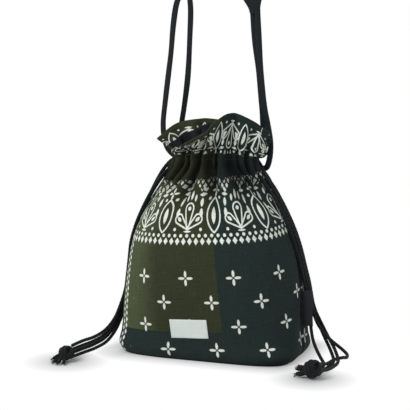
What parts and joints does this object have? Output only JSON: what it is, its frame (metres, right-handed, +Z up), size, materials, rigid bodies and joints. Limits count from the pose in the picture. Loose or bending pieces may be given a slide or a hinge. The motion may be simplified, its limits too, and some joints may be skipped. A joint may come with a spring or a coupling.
{
  "type": "drawstring shoulder bag",
  "caption": "Soft cloth shoulder bag with a boxed bottom, a ruffle above a gathered neck, knotted drawcords at both sides and a narrow shoulder strap.",
  "frame": {"origin": "on the floor under the middle of the bag's flat bottom", "axes": "+Z up, -Y towards the front with the label, +X towards the side with the tag"},
  "size_m": [0.3288, 0.2159, 0.4905],
  "materials": {
    "outer_cloth": "plain-woven printed cotton, matte",
    "lining_cloth": "thin smooth navy lining",
    "drawcord": "round black braid",
    "strap": "blue-black sewn strap, soft sheen",
    "label_cloth": "off-white woven label",
    "tag_cloth": "charcoal woven tag"
  },
  "bodies": {
    "root": {"front_panel": "outer_cloth", "back_panel": "outer_cloth", "lining": "lining_cloth", "front_label": "label_cloth", "side_tag": "tag_cloth", "casing_cord_1": "drawcord", "casing_cord_2": "drawcord", "casing_cord_3": "drawcord", "casing_cord_4": "drawcord", "drawcord_right_1": "drawcord", "drawcord_right_2": "drawcord", "drawcord_right_3": "drawcord", "drawcord_right_4": "drawcord", "drawcord_left_1": "drawcord", "drawcord_left_2": "drawcord", "drawcord_left_3": "drawcord", "drawcord_left_4": "drawcord", "knot_right": "drawcord", "knot_left": "drawcord", "strap_left_front": "strap", "strap_left_back": "strap", "strap_right_front": "strap", "strap_right_back": "strap", "shoulder_band": "strap"}
  },
  "joints": []
}
